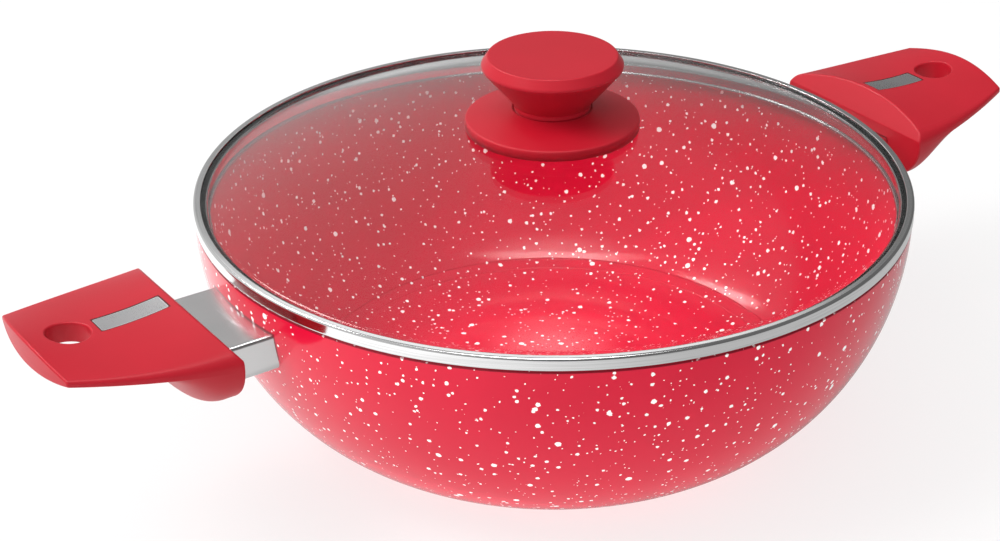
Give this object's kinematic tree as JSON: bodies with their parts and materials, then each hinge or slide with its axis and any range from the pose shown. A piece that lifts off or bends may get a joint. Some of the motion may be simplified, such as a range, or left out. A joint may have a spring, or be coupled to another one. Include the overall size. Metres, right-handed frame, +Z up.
{
  "type": "wok with lid",
  "caption": "Deep curved wok with a dished base, side grips on steel flame guards, and a lift-off glass lid in a rolled steel rim with a cone-shaped knob.",
  "frame": {"origin": "middle of the base's resting face, on the bowl's axis", "axes": "+Z up along the bowl's axis, +X from handle to handle towards the right-hand handle, +Y away from the front"},
  "size_m": [0.448, 0.284, 0.1524],
  "materials": {
    "bowl_coating": "pressed aluminium under a glossy red coating with pale flecks, bare and turned under the base",
    "rim_steel": "polished stainless strip",
    "lid_glass": "clear tempered glass",
    "knob_plastic": "satin red moulded phenolic with a soft-touch skin",
    "handle_plastic": "satin red moulded phenolic with a soft-touch skin",
    "plate_steel": "brushed along the handle",
    "guard_steel": "polished stainless sheet",
    "stud_aluminium": "plain",
    "fastener_steel": "zinc plated",
    "insert_brass": "plain",
    "gasket_silicone": "translucent silicone"
  },
  "bodies": {
    "wok": {"wok_bowl": "bowl_coating", "right_weld_stud": "stud_aluminium", "right_flame_guard": "guard_steel", "right_handle": "handle_plastic", "right_handle_plate": "plate_steel", "right_handle_screw": "fastener_steel", "right_spring_washer": "fastener_steel", "left_weld_stud": "stud_aluminium", "left_flame_guard": "guard_steel", "left_handle": "handle_plastic", "left_handle_plate": "plate_steel", "left_handle_screw": "fastener_steel", "left_spring_washer": "fastener_steel"},
    "lid": {"lid_rim": "rim_steel", "lid_glass": "lid_glass", "knob_base": "knob_plastic", "knob_grip": "knob_plastic", "knob_insert": "insert_brass", "knob_screw": "fastener_steel", "knob_washer": "fastener_steel", "knob_gasket": "gasket_silicone"}
  },
  "joints": [
    {"name": "lid_lift", "type": "slide", "parent": "wok", "child": "lid", "axis": [0, 0, 1], "range_m": [0, 0.15]}
  ]
}
